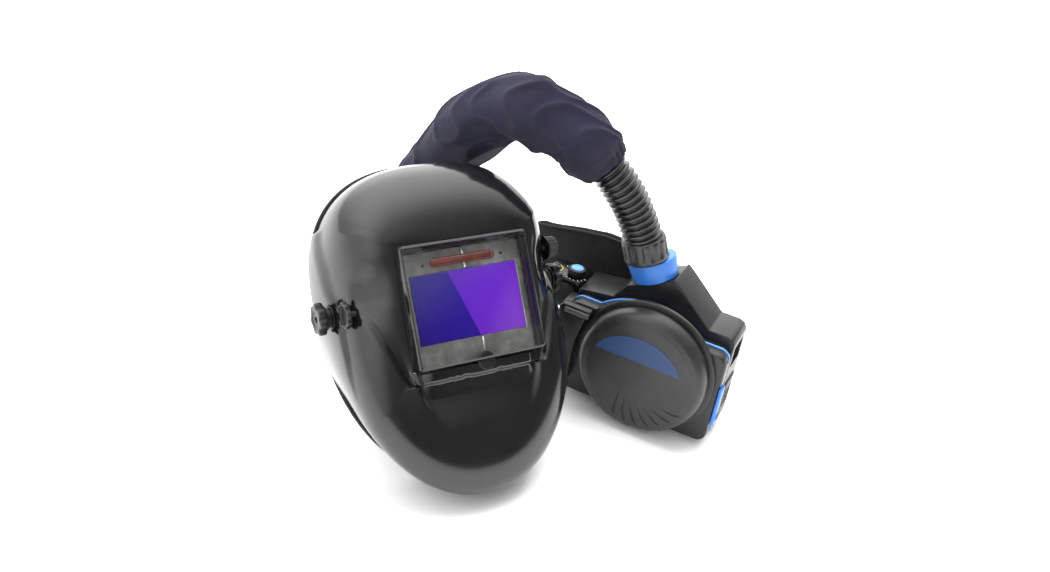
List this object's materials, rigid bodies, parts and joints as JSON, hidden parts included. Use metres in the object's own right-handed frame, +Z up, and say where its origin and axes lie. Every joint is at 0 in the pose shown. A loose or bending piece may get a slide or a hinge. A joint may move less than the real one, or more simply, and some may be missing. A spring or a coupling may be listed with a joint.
{
  "type": "welding helmet",
  "caption": "Auto-darkening welding helmet with a belt-worn air blower: flip-up shell, headgear, breathing hose with cloth sleeve, filter blower and padded belt.",
  "frame": {"origin": "centre of the object's box (without the hose, cuffs and sleeve) at the surface it stands on", "axes": "+Z up, the helmet faces -Y leaning back, +X towards the wearer's left where the blower stands"},
  "size_m": [0.5119, 0.3672, 0.3628],
  "materials": {
    "gloss_black_shell": "high gloss",
    "black_nylon": "satin",
    "charcoal_blower": "satin",
    "gloss_panel": "gloss",
    "silver_cassette": "satin",
    "clear_lens": "clear",
    "violet_lcd": "mirror-like dark filter",
    "solar_strip": "gloss",
    "black_rubber": "matt",
    "hose_rubber": "satin",
    "navy_cloth": "woven, matt",
    "black_padding": "brushed, matt",
    "black_webbing": "woven",
    "zinc_steel": "satin",
    "blue_plastic": "satin",
    "light_blue_trim": "satin",
    "dark_blue_label": "satin",
    "white_filter": "pleated media"
  },
  "bodies": {
    "headgear": {"headband_front": "black_nylon", "sweatband": "black_padding", "pivot_arm_l": "black_nylon", "pivot_arm_r": "black_nylon", "pivot_bolt_l": "zinc_steel", "pivot_bolt_r": "zinc_steel", "inner_disc_l": "black_nylon", "inner_disc_r": "black_nylon", "outer_collar_l": "black_nylon", "outer_collar_r": "black_nylon", "crown_strap_front": "black_nylon", "crown_strap_rear": "black_nylon", "crown_duct": "black_nylon", "duct_box": "black_nylon", "hose_elbow": "black_nylon", "hose_cuff_helmet": "black_rubber", "hose_cuff_blower": "black_rubber", "air_hose": "hose_rubber", "hose_sleeve": "navy_cloth", "front_housing": "charcoal_blower", "rear_housing": "charcoal_blower", "parting_trim": "light_blue_trim", "control_console": "gloss_panel", "filter_canister": "white_filter", "belt_plate": "black_nylon", "belt_pad": "black_padding", "belt_webbing_left": "black_webbing", "belt_webbing_right": "black_webbing", "buckle_female": "black_nylon"},
    "helmet": {"helmet_shell": "gloss_black_shell", "window_frame": "gloss_black_shell", "outer_cover_lens": "clear_lens", "cassette_body": "silver_cassette", "lcd_glass": "violet_lcd", "solar_strip": "solar_strip", "retaining_frame": "black_nylon", "inner_cover_lens": "clear_lens", "shade_control_box": "black_nylon"},
    "shade_dial": {"shade_knob": "black_nylon"},
    "tilt_dial": {"tilt_wheel": "black_nylon"},
    "sensitivity_dial": {"sensitivity_knob": "black_nylon"},
    "delay_dial": {"delay_knob": "black_nylon"},
    "test_key": {"test_button": "blue_plastic"},
    "coin_cap_r": {"battery_cap_r": "black_nylon"},
    "coin_cap_l": {"battery_cap_l": "black_nylon"},
    "side_knob_l": {"tension_knob_l": "black_nylon"},
    "side_knob_r": {"tension_knob_r": "black_nylon"},
    "nape_cradle": {"rear_cradle": "black_nylon", "rear_pad": "black_padding", "ratchet_housing": "black_nylon"},
    "nape_knob": {"ratchet_knob": "black_nylon"},
    "speed_dial": {"speed_knob": "black_nylon"},
    "power_key": {"power_button": "gloss_panel"},
    "fan": {"impeller": "zinc_steel"},
    "filter_cap": {"filter_cover": "charcoal_blower", "cover_label": "dark_blue_label"},
    "battery": {"battery_pack": "black_nylon"},
    "battery_catch": {"battery_latch": "blue_plastic"},
    "hose_collar": {"swivel_collar": "blue_plastic"},
    "buckle_tongue": {"buckle_male": "black_nylon"}
  },
  "joints": [
    {"name": "helmet_flip", "type": "hinge", "parent": "headgear", "child": "helmet", "pos_m": [-0.1173, -0.02576, 0.16256], "axis": [1, 0, 0], "range_deg": [-60, 0]},
    {"name": "shade_knob_turn", "type": "hinge", "parent": "helmet", "child": "shade_dial", "pos_m": [-0.0037, -0.02711, 0.20455], "axis": [1, 0, 0], "range_deg": [0, 270]},
    {"name": "tilt_wheel_turn", "type": "hinge", "parent": "helmet", "child": "tilt_dial", "pos_m": [-0.2291, -0.05292, 0.18133], "axis": [1, 0, 0], "range_deg": [-90, 90]},
    {"name": "sensitivity_turn", "type": "hinge", "parent": "helmet", "child": "sensitivity_dial", "pos_m": [-0.1353, -0.09301, 0.15375], "axis": [0, 0.8049, -0.5934], "range_deg": [0, 270]},
    {"name": "delay_turn", "type": "hinge", "parent": "helmet", "child": "delay_dial", "pos_m": [-0.0993, -0.09301, 0.15375], "axis": [0, 0.8049, -0.5934], "range_deg": [0, 270]},
    {"name": "test_key_press", "type": "slide", "parent": "helmet", "child": "test_key", "axis": [0, -0.8049, 0.5934], "range_m": [0, 0.001], "stiffness_N_per_m": 200},
    {"name": "coin_cap_r_turn", "type": "hinge", "parent": "helmet", "child": "coin_cap_r", "pos_m": [-0.1613, -0.09438, 0.15475], "axis": [0, 0.8049, -0.5934], "range_deg": [0, 90]},
    {"name": "coin_cap_l_turn", "type": "hinge", "parent": "helmet", "child": "coin_cap_l", "pos_m": [-0.0733, -0.09438, 0.15475], "axis": [0, 0.8049, -0.5934], "range_deg": [0, 90]},
    {"name": "side_knob_l_turn", "type": "hinge", "parent": "headgear", "child": "side_knob_l", "pos_m": [0.0174, -0.02576, 0.16256], "axis": [1, 0, 0], "range_deg": [-720, 0]},
    {"name": "side_knob_r_turn", "type": "hinge", "parent": "headgear", "child": "side_knob_r", "pos_m": [-0.252, -0.02576, 0.16256], "axis": [1, 0, 0], "range_deg": [0, 720]},
    {"name": "nape_cradle_slide", "type": "slide", "parent": "headgear", "child": "nape_cradle", "axis": [0, 0.4787, -0.878], "range_m": [0, 0.012]},
    {"name": "nape_knob_turn", "type": "hinge", "parent": "nape_cradle", "child": "nape_knob", "pos_m": [-0.1173, 0.05942, 0.02722], "axis": [0, 0.4787, -0.878], "range_deg": [0, 360]},
    {"name": "speed_dial_turn", "type": "hinge", "parent": "headgear", "child": "speed_dial", "pos_m": [0.08048, 0.01595, 0.1359], "axis": [0, 0, 1], "range_deg": [0, 270]},
    {"name": "power_key_press", "type": "slide", "parent": "headgear", "child": "power_key", "axis": [0, 0, -1], "range_m": [0, 0.001], "stiffness_N_per_m": 200},
    {"name": "fan_spin", "type": "hinge", "parent": "headgear", "child": "fan", "pos_m": [0.14623, -0.07362, 0.0725], "axis": [0.832, 0.5548, 0], "continuous": true},
    {"name": "filter_cap_twist", "type": "hinge", "parent": "headgear", "child": "filter_cap", "pos_m": [0.10771, -0.10652, 0.0805], "axis": [0.832, 0.5548, 0], "range_deg": [0, 30]},
    {"name": "battery_slide", "type": "slide", "parent": "headgear", "child": "battery", "axis": [0.5548, -0.832, 0], "range_m": [0, 0.055]},
    {"name": "battery_catch_slide", "type": "slide", "parent": "headgear", "child": "battery_catch", "axis": [0.5548, -0.832, 0], "range_m": [0, 0.003], "stiffness_N_per_m": 300},
    {"name": "hose_collar_turn", "type": "hinge", "parent": "headgear", "child": "hose_collar", "pos_m": [0.13291, -0.06086, 0.1645], "axis": [-0.2345, 0.3516, 0.9063], "range_deg": [-60, 60]},
    {"name": "buckle_release", "type": "slide", "parent": "headgear", "child": "buckle_tongue", "axis": [0.5548, -0.832, 0], "range_m": [0, 0.03]}
  ],
  "couplings": [
    {"joint": "nape_knob_turn", "follows": "nape_cradle_slide", "rad_per_m": 523.6}
  ]
}
